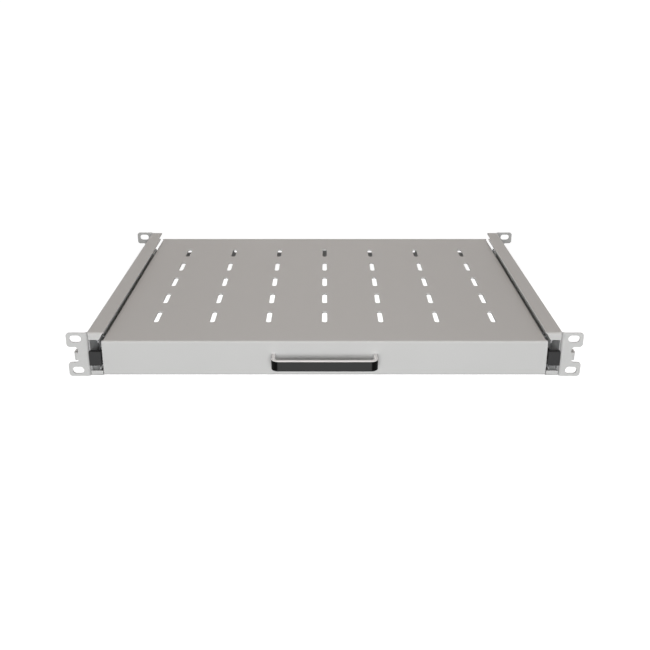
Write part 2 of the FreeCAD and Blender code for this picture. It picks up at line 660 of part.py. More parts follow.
# Handle
def handle():
    """Bow pull: a grip on two slimmer legs, which are bored for the screws."""
    leg_x = HANDLE_SPACING / 2
    outer_x = leg_x + HANDLE_LEG_WIDTH / 2
    inner_x = leg_x - HANDLE_LEG_WIDTH / 2
    grip_front = tray_front - HANDLE_PROJECTION
    grip_rear = grip_front + HANDLE_THICKNESS
    low = panel_middle - HANDLE_HEIGHT / 2
    points = [(-outer_x, tray_front), (-outer_x, grip_front), (outer_x, grip_front), (outer_x, tray_front),
              (inner_x, tray_front), (inner_x, grip_rear), (-inner_x, grip_rear), (-inner_x, tray_front)]
    radii = [0, HANDLE_CORNER_RADIUS, HANDLE_CORNER_RADIUS, 0, 0, HANDLE_INNER_RADIUS, HANDLE_INNER_RADIUS, 0]
    bar = rounded_face(points, radii, lambda x, y: Vector(x, y, low)).extrude(Vector(0, 0, HANDLE_HEIGHT))
    long_edges = [edge for edge in bar.Edges
                  if edge.BoundBox.ZLength < 0.001 and edge.BoundBox.YMin < tray_front - 0.001]
    bar = bar.makeFillet(HANDLE_EDGE_RADIUS, long_edges)
    for x in (-leg_x, leg_x):
        bar = bar.cut(Part.makeCylinder(HANDLE_SCREW_DIAMETER / 2 + HOLE_CLEARANCE, HANDLE_SCREW_DEPTH + 1,
                                        Vector(x, tray_front, panel_middle), Vector(0, -1, 0)))
    return bar


def handle_screws():
    """Pan-head screws from behind the front panel into the handle's legs."""
    half = HANDLE_SCREW_DIAMETER / 2
    head = HANDLE_SCREW_HEAD_DIAMETER / 2
    stations = [(-HANDLE_SCREW_DEPTH, half), (TRAY_GAUGE, half), (TRAY_GAUGE, head),
                (TRAY_GAUGE + HANDLE_SCREW_HEAD_HEIGHT / 2, head),
                (TRAY_GAUGE + HANDLE_SCREW_HEAD_HEIGHT, head / 2)]
    screws = [turned(stations, Vector(x, tray_front, panel_middle), Vector(0, 1, 0))
              for x in (-HANDLE_SPACING / 2, HANDLE_SPACING / 2)]
    return Part.makeCompound(screws)


def main():
    os.makedirs("parts", exist_ok=True)
    left_pieces = {
        "rail": left_rail(),
        "rail_rivets": left_rail_rivets(),
        "slide_outer_member": left_outer_member(),
        "slide_middle_member": left_middle_member(),
        "slide_inner_member": left_inner_member(),
        "outer_ball_retainer": left_outer_retainer(),
        "inner_ball_retainer": left_inner_retainer(),
        "outer_balls": ball_rows(outer_ball_u, outer_ball_z),
        "inner_balls": ball_rows(inner_ball_u, inner_ball_z),
        "front_stop": left_front_stop(),
        "rear_buffer": left_rear_buffer(),
        "tray_rivets": left_tray_rivets(),
    }
    pieces = {"shelf_tray": shelf_tray(), "handle": handle(), "handle_screws": handle_screws()}
    for name, shape in left_pieces.items():
        pieces["left_" + name] = shape
        pieces["right_" + name] = mirrored(shape)
    for name, shape in pieces.items():
        shape.exportStep("parts/" + name + ".step")


main()
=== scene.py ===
"""Sliding rack shelf: finishes, fasteners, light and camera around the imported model."""
import json
import math

import bmesh
import bpy
from mathutils import Matrix, Vector


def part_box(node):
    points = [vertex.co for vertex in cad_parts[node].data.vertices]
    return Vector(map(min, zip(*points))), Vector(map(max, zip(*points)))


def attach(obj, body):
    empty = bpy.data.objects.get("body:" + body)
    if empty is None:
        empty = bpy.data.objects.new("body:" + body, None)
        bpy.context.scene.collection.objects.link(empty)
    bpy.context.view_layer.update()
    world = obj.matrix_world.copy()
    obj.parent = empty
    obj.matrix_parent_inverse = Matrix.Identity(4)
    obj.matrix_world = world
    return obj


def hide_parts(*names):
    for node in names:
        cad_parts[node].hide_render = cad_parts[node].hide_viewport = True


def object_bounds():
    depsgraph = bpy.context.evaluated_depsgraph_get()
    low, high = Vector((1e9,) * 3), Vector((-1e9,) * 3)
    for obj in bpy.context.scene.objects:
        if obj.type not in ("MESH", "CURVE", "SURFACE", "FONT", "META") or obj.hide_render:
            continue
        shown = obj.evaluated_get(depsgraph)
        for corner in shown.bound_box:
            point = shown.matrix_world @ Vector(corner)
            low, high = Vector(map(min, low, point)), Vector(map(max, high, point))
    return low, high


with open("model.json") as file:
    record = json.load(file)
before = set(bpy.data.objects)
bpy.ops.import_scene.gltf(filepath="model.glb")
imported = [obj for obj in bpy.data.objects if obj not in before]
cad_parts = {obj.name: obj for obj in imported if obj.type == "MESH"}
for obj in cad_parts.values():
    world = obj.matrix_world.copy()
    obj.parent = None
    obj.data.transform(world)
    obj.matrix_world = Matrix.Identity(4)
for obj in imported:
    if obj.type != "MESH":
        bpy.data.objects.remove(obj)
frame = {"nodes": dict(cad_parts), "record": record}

cad_low, cad_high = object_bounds()
nodes = frame["nodes"]


def grey(level):
    return level, level, level, 1.0


# Lengths are in metres, angles in degrees, and the lens and sensor in millimetres.
# In a finish, TONES and ROUGHNESS are the two ends of a drift, SHARE is how much of a mask shows, BUMP is a
# strength and a depth, and any other pair is where a mask starts and where it is full.
ORIGIN = (0.0, 0.0, 0.0)
UP = (0.0, 0.0, 1.0)
WHITE = grey(1.0)

# Camera: the shift is a share of the picture's width
CAMERA_PLACE = (0.0, -0.7827, 0.3324)
CAMERA_PITCH = 21.568
CAMERA_LENS = 50.1
CAMERA_SENSOR = 36.0
CAMERA_SHIFT = (0.00055, 0.0097)

# Studio: a pale floor far below the shelf, since it hangs in a rack
FLOOR_DROP = 0.9
FLOOR_HALF_SIZE = 60.0
FLOOR_TONE = grey(0.25)
FLOOR_ROUGHNESS = 0.9
FLOOR_GLOW = 0.95
SKY_TONE = (1.0, 0.93, 0.88, 1.0)
SKY_LEVEL = 0.06

# Soft lamps: name, place, the point it faces, width and height, watts, colour
FRONT_COLOUR = (0.99, 1.0, 1.0)
OVERHEAD_COLOUR = (1.0, 0.91, 0.85)
SIDE_COLOUR = (1.0, 1.0, 1.0)
LAMPS = (
    ("front_softbox", (0.0, -1.7, 0.37), ORIGIN, (1.0, 0.74), 26.9, FRONT_COLOUR),
    ("overhead_softbox", (0.0, 0.3, 1.8), (0.0, 0.3, 0.0), (0.4, 2.6), 14.4, OVERHEAD_COLOUR),
    ("left_softbox", (-3.0, 0.17, 0.0), (0.0, 0.17, 0.0), (1.5, 0.6), 22.0, SIDE_COLOUR),
    ("right_softbox", (3.0, 0.17, 0.0), (0.0, 0.17, 0.0), (1.5, 0.6), 22.0, SIDE_COLOUR),
    ("rear_softbox", (0.0, 3.2, 0.0), (0.0, 0.3, 0.0), (1.5, 0.6), 24.0, SIDE_COLOUR),
)

# Blind rivets: heights are measured from the seat towards the head
RIVET_HEAD_RADIUS = 0.004
RIVET_HEAD_HEIGHT = 0.0015
RIVET_RIM = 0.0004
RIVET_RADIUS = 0.002
RIVET_GRIP = 0.0025
RIVETS_IN_ROW = 3
RAIL_SHEET = 0.0015
SINK_RADIUS = 0.003
TAIL_RADIUS = 0.0032
TAIL_HEIGHT = 0.0012
TAIL_ROUND = 0.0005
TAIL_ROUND_STEPS = 3
MANDREL_RADIUS = 0.0009
MANDREL_HOLE = 0.0012
MANDREL_TOP = 0.0011
MANDREL_FLOOR = 0.0005
MANDREL_DIMPLE = 0.0002
EDGE_BREAK = 0.0001

# Pan-head screws with a cross recess
SCREW_HEAD_RADIUS = 0.00275
SCREW_HEAD_HEIGHT = 0.002
SCREW_SIDE_HEIGHT = 0.001
SCREW_CROWN_RADIUS = 0.0017
SCREW_RADIUS = 0.001
SCREW_TIP = 0.0004
RECESS_GRID = 3
RECESS_HALF_LENGTH = 0.0012
RECESS_HALF_WIDTH = 0.00035
RECESS_DEPTH = 0.0011
RECESS_TAPER = 0.75

# Turned shapes: the two turns are in radians
QUARTER_TURN = 0.5 * math.pi
FULL_TURN = 2.0 * math.pi
TURN_STEPS = 36
DOME_STEPS = 8
MERGE_DISTANCE = 1e-6
SHARP_ANGLE = 35.0

# The Mix node's colour sockets share their names with its number sockets, so they go by number
MIX_FIRST_COLOUR = 6
MIX_SECOND_COLOUR = 7
MIX_RESULT_COLOUR = 2


# Node helpers
def add(tree, kind, **settings):
    node = tree.nodes.new("ShaderNode" + kind)
    for key, value in settings.items():
        setattr(node, key, value)
    return node


def join(tree, source, target):
    tree.links.new(source, target)


def feed(tree, value, target):
    """Link an output to a socket, or set a plain number or colour on it."""
    if isinstance(value, bpy.types.NodeSocket):
        join(tree, value, target)
    else:
        target.default_value = value


def number_math(tree, operation, *values):
    node = add(tree, "Math", operation=operation)
    for value, target in zip(values, node.inputs):
        feed(tree, value, target)
    return node.outputs["Value"]


def vector_math(tree, operation, *vectors):
    node = add(tree, "VectorMath", operation=operation)
    for vector, target in zip(vectors, node.inputs):
        join(tree, vector, target)
    return node.outputs


def object_coordinates(tree):
    return add(tree, "TexCoord").outputs["Object"]


def noise(tree, vector, detail, scale=1.0):
    node = add(tree, "TexNoise")
    node.inputs["Detail"].default_value = detail
    feed(tree, scale, node.inputs["Scale"])
    join(tree, vector, node.inputs["Vector"])
    return node.outputs["Fac"]


def between(tree, factor, low, high):
    """Values spread from low to high as the factor goes from 0 to 1."""
    node = add(tree, "MapRange")
    node.inputs["To Min"].default_value = low
    node.inputs["To Max"].default_value = high
    join(tree, factor, node.inputs["Value"])
    return node.outputs["Result"]


def rising(tree, value, start, full):
    """Mask from 0 at the start value to 1 at the full one."""
    node = add(tree, "MapRange")
    node.inputs["From Min"].default_value = start
    node.inputs["From Max"].default_value = full
    join(tree, value, node.inputs["Value"])
    return node.outputs["Result"]


def partly(tree, mask, share):
    """Mask brought down to a share of itself."""
    return between(tree, mask, 0.0, share)


def either(tree, first, second):
    """Larger of two masks."""
    return number_math(tree, "MAXIMUM", first, second)


def blend(tree, factor, first, second):
    """Colour between two, each a colour or an output."""
    node = add(tree, "Mix", data_type="RGBA")
    join(tree, factor, node.inputs["Factor"])
    feed(tree, first, node.inputs[MIX_FIRST_COLOUR])
    feed(tree, second, node.inputs[MIX_SECOND_COLOUR])
    return node.outputs[MIX_RESULT_COLOUR]


def group_tree(name, inputs, outputs):
    """Node group with number sockets, and its two end nodes."""
    tree = bpy.data.node_groups.new(name, "ShaderNodeTree")
    for label in inputs:
        tree.interface.new_socket(label, in_out="INPUT", socket_type="NodeSocketFloat")
    for label in outputs:
        tree.interface.new_socket(label, in_out="OUTPUT", socket_type="NodeSocketFloat")
    return tree, tree.nodes.new("NodeGroupInput"), tree.nodes.new("NodeGroupOutput")


# Effects that the finishes are built from
EDGE_SAMPLES = 4
EDGE_LIKENESS = (1.0, 0.75)


def coat_edges_group():
    """Mask that rises beside edges, where a coat is thin and gets rubbed: Radius is how far it reaches."""
    tree, entry, out = group_tree("coat_edges", ["Radius"], ["Mask"])
    rounded = add(tree, "Bevel", samples=EDGE_SAMPLES)
    join(tree, entry.outputs["Radius"], rounded.inputs["Radius"])
    surface = add(tree, "NewGeometry")
    likeness = vector_math(tree, "DOT_PRODUCT", rounded.outputs["Normal"], surface.outputs["Normal"])
    join(tree, rising(tree, likeness["Value"], *EDGE_LIKENESS), out.inputs["Mask"])
    return tree


PEEL_DETAIL = 2.0
DRIFT_DETAIL = 3.0
DRIFT_SCALE = 14.0


def coat_peel_group():
    """Orange-peel height and a slow drift of tone, as on powder coat and moulded plastic."""
    tree, entry, out = group_tree("coat_peel", ["Scale"], ["Height", "Drift"])
    place = object_coordinates(tree)
    join(tree, noise(tree, place, PEEL_DETAIL, entry.outputs["Scale"]), out.inputs["Height"])
    join(tree, noise(tree, place, DRIFT_DETAIL, DRIFT_SCALE), out.inputs["Drift"])
    return tree


LINES_ALONG = 9.0
LINES_DETAIL = 2.0
SPANGLE_SCALE = 210.0


def rolled_lines_group():
    """Fine lines along the slide's length, left by the forming rolls, and the spangle of the zinc."""
    tree, entry, out = group_tree("rolled_lines", ["Across"], ["Lines", "Spangle"])
    place = object_coordinates(tree)
    stretch = add(tree, "CombineXYZ")
    stretch.inputs["Y"].default_value = LINES_ALONG
    for axis in "XZ":
        join(tree, entry.outputs["Across"], stretch.inputs[axis])
    stretched = vector_math(tree, "MULTIPLY", place, stretch.outputs["Vector"])
    join(tree, noise(tree, stretched["Vector"], LINES_DETAIL), out.inputs["Lines"])
    cells = add(tree, "TexVoronoi")
    cells.inputs["Scale"].default_value = SPANGLE_SCALE
    join(tree, place, cells.inputs["Vector"])
    tint = add(tree, "SeparateColor")
    join(tree, cells.outputs["Color"], tint.inputs["Color"])
    join(tree, tint.outputs["Red"], out.inputs["Spangle"])
    return tree


def face_turn_group():
    """How far each face looks out from the middle along an axis, and how square it stands to that axis.

    Middle is the depth that counts as the middle; across and in height the middle is 0.
    """
    measures = ["Outward X", "Outward Y", "Outward Z", "Square Y", "Square Z"]
    tree, entry, out = group_tree("face_turn", ["Middle"], measures)
    own = add(tree, "TexCoord")
    middle = add(tree, "CombineXYZ")
    join(tree, entry.outputs["Middle"], middle.inputs["Y"])
    past = vector_math(tree, "SUBTRACT", own.outputs["Object"], middle.outputs["Vector"])
    outward = vector_math(tree, "MULTIPLY", past["Vector"], own.outputs["Normal"])
    square = vector_math(tree, "ABSOLUTE", own.outputs["Normal"])
    axes = {}
    for name, vector in (("Outward", outward), ("Square", square)):
        axes[name] = add(tree, "SeparateXYZ")
        join(tree, vector["Vector"], axes[name].inputs["Vector"])
    for measure in measures:
        name, axis = measure.split()
        join(tree, axes[name].outputs[axis], out.inputs[measure])
    return tree


COAT_EDGES = coat_edges_group()
COAT_PEEL = coat_peel_group()
ROLLED_LINES = rolled_lines_group()
FACE_TURN = face_turn_group()


# Finishes
def finish_material(name):
    material = bpy.data.materials.new(name)
    material.use_nodes = True
    tree = material.node_tree
    return material, tree, tree.nodes["Principled BSDF"]


def place_group(tree, group, **values):
    node = add(tree, "Group", node_tree=group)
    for label, value in values.items():
        node.inputs[label].default_value = value
    return node.outputs


def bump(tree, shader, height, strength, depth):
    node = add(tree, "Bump")
    node.inputs["Strength"].default_value = strength
    node.inputs["Distance"].default_value = depth
    join(tree, height, node.inputs["Height"])
    join(tree, node.outputs["Normal"], shader.inputs["Normal"])


PAINT_TONES = ((0.585, 0.585, 0.580, 1.0), (0.615, 0.615, 0.610, 1.0))
# The inside tone is painted shade, for faces that look inwards along the depth and in height
PAINT_INSIDE_SHADE_TONE = (0.46, 0.46, 0.455, 1.0)
PAINT_RUBBED_TONE = grey(0.70)
PAINT_RUBBED_SHARE = 0.35
PAINT_PEEL_SCALE = 750.0
PAINT_EDGE_RADIUS = 0.0006
PAINT_MIDDLE = 0.174
PAINT_SHADED_INNER_ENDS = (-0.150, -0.165)
PAINT_SHADED_UNDERSIDES = (-0.004, -0.010)
PAINT_ROUGHNESS = (0.54, 0.64)
PAINT_SPECULAR = 0.2
PAINT_BUMP = (0.12, 0.00012)


def powder_coat():
    """Light grey powder coat with a fine peel, paler on rubbed edges, with painted shade darkening the faces
    that look inwards along the depth and in height.
    """
    material, tree, shader = finish_material("grey_powder_coat")
    peel = place_group(tree, COAT_PEEL, Scale=PAINT_PEEL_SCALE)
    edges = place_group(tree, COAT_EDGES, Radius=PAINT_EDGE_RADIUS)
    turn = place_group(tree, FACE_TURN, Middle=PAINT_MIDDLE)
    drift = blend(tree, peel["Drift"], *PAINT_TONES)
    # Painted shade: faces looking inwards along the depth and in height take the darker inside tone
    shaded_inner_ends = rising(tree, turn["Outward Y"], *PAINT_SHADED_INNER_ENDS)
    shaded_undersides = rising(tree, turn["Outward Z"], *PAINT_SHADED_UNDERSIDES)
    coat = blend(tree, either(tree, shaded_inner_ends, shaded_undersides), drift, PAINT_INSIDE_SHADE_TONE)
    rubbed = partly(tree, edges["Mask"], PAINT_RUBBED_SHARE)
    join(tree, blend(tree, rubbed, coat, PAINT_RUBBED_TONE), shader.inputs["Base Color"])
    join(tree, between(tree, peel["Drift"], *PAINT_ROUGHNESS), shader.inputs["Roughness"])
    shader.inputs["Specular IOR Level"].default_value = PAINT_SPECULAR
    bump(tree, shader, peel["Height"], *PAINT_BUMP)
    return material


ZINC_TONES = ((0.82, 0.825, 0.83, 1.0), (0.88, 0.885, 0.89, 1.0))
# The crest tone is painted shade on the faces of the slide that look up or down away from its middle
ZINC_CREST_SHADE_TONE = (0.36, 0.355, 0.34, 1.0)
ZINC_BARE_TONE = (0.42, 0.42, 0.425, 1.0)
ZINC_BARE_SHARE = 0.8
ZINC_LINES_ACROSS = 2600.0
ZINC_EDGE_RADIUS = 0.0004
ZINC_SHADED_CRESTS = (0.001, 0.004)
ZINC_CUT_ENDS = (0.90, 0.99)
ZINC_METALLIC = 0.05
ZINC_SPECULAR = 0.15
ZINC_ROUGHNESS = (0.42, 0.56)
ZINC_BUMP = (0.08, 0.00005)


def zinc_steel():
    """Bright zinc on roll-formed strip: rolled lines, a faint spangle, painted shade on the crests and bare
    cut ends.
    """
    material, tree, shader = finish_material("zinc_strip")
    strip = place_group(tree, ROLLED_LINES, Across=ZINC_LINES_ACROSS)
    edges = place_group(tree, COAT_EDGES, Radius=ZINC_EDGE_RADIUS)
    turn = place_group(tree, FACE_TURN)
    zinc = blend(tree, strip["Spangle"], *ZINC_TONES)
    # Painted shade: faces looking up or down away from the middle height go dark
    crests = rising(tree, turn["Outward Z"], *ZINC_SHADED_CRESTS)
    shaded_zinc = blend(tree, crests, zinc, ZINC_CREST_SHADE_TONE)
    rubbed = partly(tree, edges["Mask"], ZINC_BARE_SHARE)
    worn = blend(tree, rubbed, shaded_zinc, ZINC_BARE_TONE)
    cut_ends = rising(tree, turn["Square Y"], *ZINC_CUT_ENDS)
    join(tree, blend(tree, cut_ends, worn, ZINC_BARE_TONE), shader.inputs["Base Color"])
    shader.inputs["Metallic"].default_value = ZINC_METALLIC
    shader.inputs["Specular IOR Level"].default_value = ZINC_SPECULAR
    join(tree, between(tree, strip["Lines"], *ZINC_ROUGHNESS), shader.inputs["Roughness"])
    bump(tree, shader, strip["Lines"], *ZINC_BUMP)
    return material


BALL_TONES = ((0.70, 0.71, 0.72, 1.0), grey(0.78))
BALL_FILM_SCALE = 900.0
BALL_FILM_DETAIL = 3.0
BALL_ROUGHNESS = (0.06, 0.20)


def ball_steel():
    """Polished bearing steel with a thin film of grease."""
    material, tree, shader = finish_material("bearing_steel")
    film = noise(tree, object_coordinates(tree), BALL_FILM_DETAIL, BALL_FILM_SCALE)
    join(tree, blend(tree, film, *BALL_TONES), shader.inputs["Base Color"])
    shader.inputs["Metallic"].default_value = 1.0
    join(tree, between(tree, film, *BALL_ROUGHNESS), shader.inputs["Roughness"])
    return material


BLACK_TONES = ((0.034, 0.034, 0.035, 1.0), (0.042, 0.042, 0.043, 1.0))
BLACK_RUBBED_TONE = (0.065, 0.065, 0.066, 1.0)
BLACK_RUBBED_SHARE = 0.25
BLACK_PEEL_SCALE = 2200.0
BLACK_EDGE_RADIUS = 0.0004
BLACK_ROUGHNESS = (0.48, 0.64)
BLACK_SPECULAR = 0.15
BLACK_BUMP = (0.25, 0.00006)


def black_plastic():
    """Black moulded plastic with a spark-eroded grain."""
    material, tree, shader = finish_material("black_moulding")
    peel = place_group(tree, COAT_PEEL, Scale=BLACK_PEEL_SCALE)
    edges = place_group(tree, COAT_EDGES, Radius=BLACK_EDGE_RADIUS)
    drift = blend(tree, peel["Drift"], *BLACK_TONES)
    rubbed = partly(tree, edges["Mask"], BLACK_RUBBED_SHARE)
    join(tree, blend(tree, rubbed, drift, BLACK_RUBBED_TONE), shader.inputs["Base Color"])
    join(tree, between(tree, peel["Height"], *BLACK_ROUGHNESS), shader.inputs["Roughness"])
    shader.inputs["Specular IOR Level"].default_value = BLACK_SPECULAR
    bump(tree, shader, peel["Height"], *BLACK_BUMP)
    return material


NATURAL_TONES = ((0.66, 0.655, 0.63, 1.0), (0.74, 0.735, 0.71, 1.0))
NATURAL_PEEL_SCALE = 1600.0
NATURAL_ROUGHNESS = (0.40, 0.55)
NATURAL_MILKINESS = 0.15
NATURAL_MILK_RADIUS = (0.002, 0.0018, 0.0015)
NATURAL_BUMP = (0.2, 0.00005)


def natural_plastic():
    """Undyed moulding of the rear buffers, milky and lightly grained."""
    material, tree, shader = finish_material("natural_moulding")
    peel = place_group(tree, COAT_PEEL, Scale=NATURAL_PEEL_SCALE)
    join(tree, blend(tree, peel["Drift"], *NATURAL_TONES), shader.inputs["Base Color"])
    join(tree, between(tree, peel["Height"], *NATURAL_ROUGHNESS), shader.inputs["Roughness"])
    shader.inputs["Subsurface Weight"].default_value = NATURAL_MILKINESS
    shader.inputs["Subsurface Radius"].default_value = NATURAL_MILK_RADIUS
    bump(tree, shader, peel["Height"], *NATURAL_BUMP)
    return material


HANDLE_SATIN_TONES = (grey(0.044), grey(0.052))
# The corner tone is painted shade; the pale tones on the cut faces and leg sides are a painted highlight on
# partly metallic faces
HANDLE_CORNER_SHADE_TONE = grey(0.003)
HANDLE_HIGHLIGHT_TONES = (grey(0.72), grey(0.78))
HANDLE_PEEL_SCALE = 1400.0
HANDLE_HIGHLIGHT_EDGES = (0.45, 0.65)
HANDLE_LIT_LEG_SIDES = (-0.030, -0.040)
HANDLE_UNSHADED_FACES = (0.975, 0.9995)
HANDLE_METAL_SHARE = 0.35
HANDLE_ROUGHNESS = (0.34, 0.46)
HANDLE_SPECULAR = 0.03
HANDLE_BUMP = (0.06, 0.00004)


def handle_finish():
    """Satin black face and back, with painted shade deepening the corners, and a pale, partly metallic tone
    on the cut top and bottom faces and the legs' inner sides as a painted highlight.
    """
    material, tree, shader = finish_material("black_handle_bright_edge")
    peel = place_group(tree, COAT_PEEL, Scale=HANDLE_PEEL_SCALE)
    turn = place_group(tree, FACE_TURN)
    # Painted highlight: the cut top and bottom faces and the legs' inner sides take a pale, partly metallic
    # tone
    highlight_cut_edges = rising(tree, turn["Square Z"], *HANDLE_HIGHLIGHT_EDGES)
    lit_leg_sides = rising(tree, turn["Outward X"], *HANDLE_LIT_LEG_SIDES)
    painted_highlight_mask = either(tree, highlight_cut_edges, lit_leg_sides)
    # Painted shade: faces that turn away from the front and back go deeper black
    unshaded_faces = rising(tree, turn["Square Y"], *HANDLE_UNSHADED_FACES)
    satin = blend(tree, peel["Drift"], *HANDLE_SATIN_TONES)
    black = blend(tree, unshaded_faces, HANDLE_CORNER_SHADE_TONE, satin)
    metal_and_highlight = blend(tree, peel["Height"], *HANDLE_HIGHLIGHT_TONES)
    join(tree, blend(tree, painted_highlight_mask, black, metal_and_highlight), shader.inputs["Base Color"])
    join(tree, partly(tree, painted_highlight_mask, HANDLE_METAL_SHARE), shader.inputs["Metallic"])
    join(tree, between(tree, peel["Height"], *HANDLE_ROUGHNESS), shader.inputs["Roughness"])
    shader.inputs["Specular IOR Level"].default_value = HANDLE_SPECULAR
    bump(tree, shader, peel["Height"], *HANDLE_BUMP)
    return material


FASTENER_TONES = ((0.50, 0.51, 0.52, 1.0), (0.62, 0.62, 0.63, 1.0))
FASTENER_RUBBED_TONE = grey(0.78)
FASTENER_RUBBED_SHARE = 0.6
FASTENER_PEEL_SCALE = 1800.0
FASTENER_EDGE_RADIUS = 0.0003
FASTENER_ROUGHNESS = (0.30, 0.42)


def fastener_steel():
    """Zinc-plated screws and rivets, brighter on rubbed edges."""
    material, tree, shader = finish_material("plated_fastener")
    peel = place_group(tree, COAT_PEEL, Scale=FASTENER_PEEL_SCALE)
    edges = place_group(tree, COAT_EDGES, Radius=FASTENER_EDGE_RADIUS)
    plating = blend(tree, peel["Height"], *FASTENER_TONES)
    rubbed = partly(tree, edges["Mask"], FASTENER_RUBBED_SHARE)
    join(tree, blend(tree, rubbed, plating, FASTENER_RUBBED_TONE), shader.inputs["Base Color"])
    shader.inputs["Metallic"].default_value = 1.0
    join(tree, between(tree, peel["Drift"], *FASTENER_ROUGHNESS), shader.inputs["Roughness"])
    return material


FINISHES = {
    "grey_paint": powder_coat(),
    "zinc_steel": zinc_steel(),
    "ball_steel": ball_steel(),
    "black_plastic": black_plastic(),
    "natural_plastic": natural_plastic(),
    "black_handle": handle_finish(),
    "fastener_steel": fastener_steel(),
}


def dress_nodes():
    """Every node takes the finish of its slot in the record."""
    for subpart in frame["record"]["subparts"]:
        mesh = nodes[subpart["node"]].data
        mesh.materials.clear()
        mesh.materials.append(FINISHES[subpart["material_slot"]])


# Fasteners, turned about Z with the head upwards and the seat at height 0
def turned(profile):
    """Revolved shell through (height, radius) stations, from the top down."""
    bm = bmesh.new()
    line = [bm.verts.new((radius, 0.0, height)) for height, radius in profile]
    edges = [bm.edges.new(pair) for pair in zip(line, line[1:])]
    bmesh.ops.spin(bm, geom=line + edges, cent=ORIGIN, axis=UP, dvec=ORIGIN,
                   angle=FULL_TURN, steps=TURN_STEPS, use_merge=True)
    bmesh.ops.remove_doubles(bm, verts=bm.verts, dist=MERGE_DISTANCE)
    bmesh.ops.recalc_face_normals(bm, faces=bm.faces)
    return bm


def dome(low, high, inner, outer):
    """Stations of a quarter ellipse, from its inner radius out to its rim."""
    stations = []
    for step in range(DOME_STEPS + 1):
        radius = inner + (outer - inner) * math.sin(QUARTER_TURN * step / DOME_STEPS)
        fall = math.sqrt(1.0 - ((radius - inner) / (outer - inner)) ** 2)
        stations.append((low + (high - low) * fall, radius))
    return stations


def rivet_head():
    """Domed head with the mandrel's broken end down in its hole."""
    stub = [(MANDREL_TOP, 0.0), (MANDREL_TOP, MANDREL_RADIUS - EDGE_BREAK),
            (MANDREL_TOP - EDGE_BREAK, MANDREL_RADIUS), (MANDREL_FLOOR, MANDREL_RADIUS),
            (MANDREL_FLOOR, MANDREL_HOLE), (RIVET_HEAD_HEIGHT - EDGE_BREAK, MANDREL_HOLE)]
    cap = dome(RIVET_RIM, RIVET_HEAD_HEIGHT, MANDREL_HOLE + EDGE_BREAK, RIVET_HEAD_RADIUS)
    return stub + cap + [(0.0, RIVET_HEAD_RADIUS), (0.0, RIVET_RADIUS)]


def dimple(height):
    """Mandrel's other end, just inside the face of the tail."""
    sunk = height + MANDREL_DIMPLE
    return [(height, MANDREL_HOLE), (sunk, MANDREL_RADIUS), (sunk, 0.0)]


def rail_rivet():
    """Rivet whose tail is sunk flush in the slide's outer member."""
    sunk = [(-RAIL_SHEET, RIVET_RADIUS), (-RIVET_GRIP, SINK_RADIUS)]
    return turned(rivet_head() + sunk + dimple(-RIVET_GRIP))


def tray_rivet():
    """Rivet whose tail is spread over the slide's inner member, with a rounded rim."""
    end = -RIVET_GRIP - TAIL_HEIGHT
    tail = [(-RIVET_GRIP, RIVET_RADIUS), (-RIVET_GRIP, TAIL_RADIUS)]
    for step in range(TAIL_ROUND_STEPS + 1):
        turn = QUARTER_TURN * step / TAIL_ROUND_STEPS
        height = end + TAIL_ROUND - TAIL_ROUND * math.sin(turn)
        tail.append((height, TAIL_RADIUS - TAIL_ROUND * (1.0 - math.cos(turn))))
    return turned(rivet_head() + tail + dimple(end))


def vertices(geometry):
    return [item for item in geometry if isinstance(item, bmesh.types.BMVert)]


def recess_cross(bm):
    """Cross of faces on the crown: a grid of nine without its corners, drawn in to slim arms."""
    crown = Matrix.Translation((0.0, 0.0, SCREW_HEAD_HEIGHT))
    grid = bmesh.ops.create_grid(bm, x_segments=RECESS_GRID, y_segments=RECESS_GRID,
                                 size=RECESS_HALF_LENGTH, matrix=crown)["verts"]
    corners = [vert for vert in grid if len(vert.link_faces) == 1]
    bmesh.ops.delete(bm, geom=corners, context="VERTS")
    arms = [vert for vert in grid if vert.is_valid]
    slim = RECESS_GRID * RECESS_HALF_WIDTH / RECESS_HALF_LENGTH
    for axis, narrowed in ((0, (slim, 1.0, 1.0)), (1, (1.0, slim, 1.0))):
        inner = [vert for vert in arms if abs(vert.co[axis]) < 0.5 * RECESS_HALF_LENGTH]
        bmesh.ops.scale(bm, vec=narrowed, verts=inner)
    return list(dict.fromkeys(face for vert in arms for face in vert.link_faces))


def pan_screw(length):
    """Pan-head screw: the recess is sunk from a cross of faces that is bridged to the crown's rim."""
    side = dome(SCREW_SIDE_HEIGHT, SCREW_HEAD_HEIGHT, SCREW_CROWN_RADIUS, SCREW_HEAD_RADIUS)
    shank = [(0.0, SCREW_HEAD_RADIUS), (0.0, SCREW_RADIUS), (-length + SCREW_TIP, SCREW_RADIUS),
             (-length, SCREW_RADIUS - SCREW_TIP), (-length, 0.0)]
    bm = turned(side + shank)
    rim = [edge for edge in bm.edges if edge.is_boundary]
    cross = recess_cross(bm)
    outline = list(dict.fromkeys(edge for face in cross for edge in face.edges if edge.is_boundary))
    bmesh.ops.bridge_loops(bm, edges=rim + outline)
    recess_floor = vertices(bmesh.ops.extrude_face_region(bm, geom=cross)["geom"])
    bmesh.ops.translate(bm, vec=(0.0, 0.0, -RECESS_DEPTH), verts=recess_floor)
    bmesh.ops.scale(bm, vec=(RECESS_TAPER, RECESS_TAPER, 1.0), verts=recess_floor)
    bmesh.ops.delete(bm, geom=[face for face in cross if face.is_valid], context="FACES")
    bmesh.ops.recalc_face_normals(bm, faces=bm.faces)
    return bm


def settle_order(bm):
    """Edges and faces in the order of their corners, so that each run gives the same mesh."""
    bm.verts.index_update()
    for parts in (bm.edges, bm.faces):
        in_order = sorted(parts, key=lambda part: sorted(vert.index for vert in part.verts))
        for number, part in enumerate(in_order):
            part.index = number
        parts.sort()


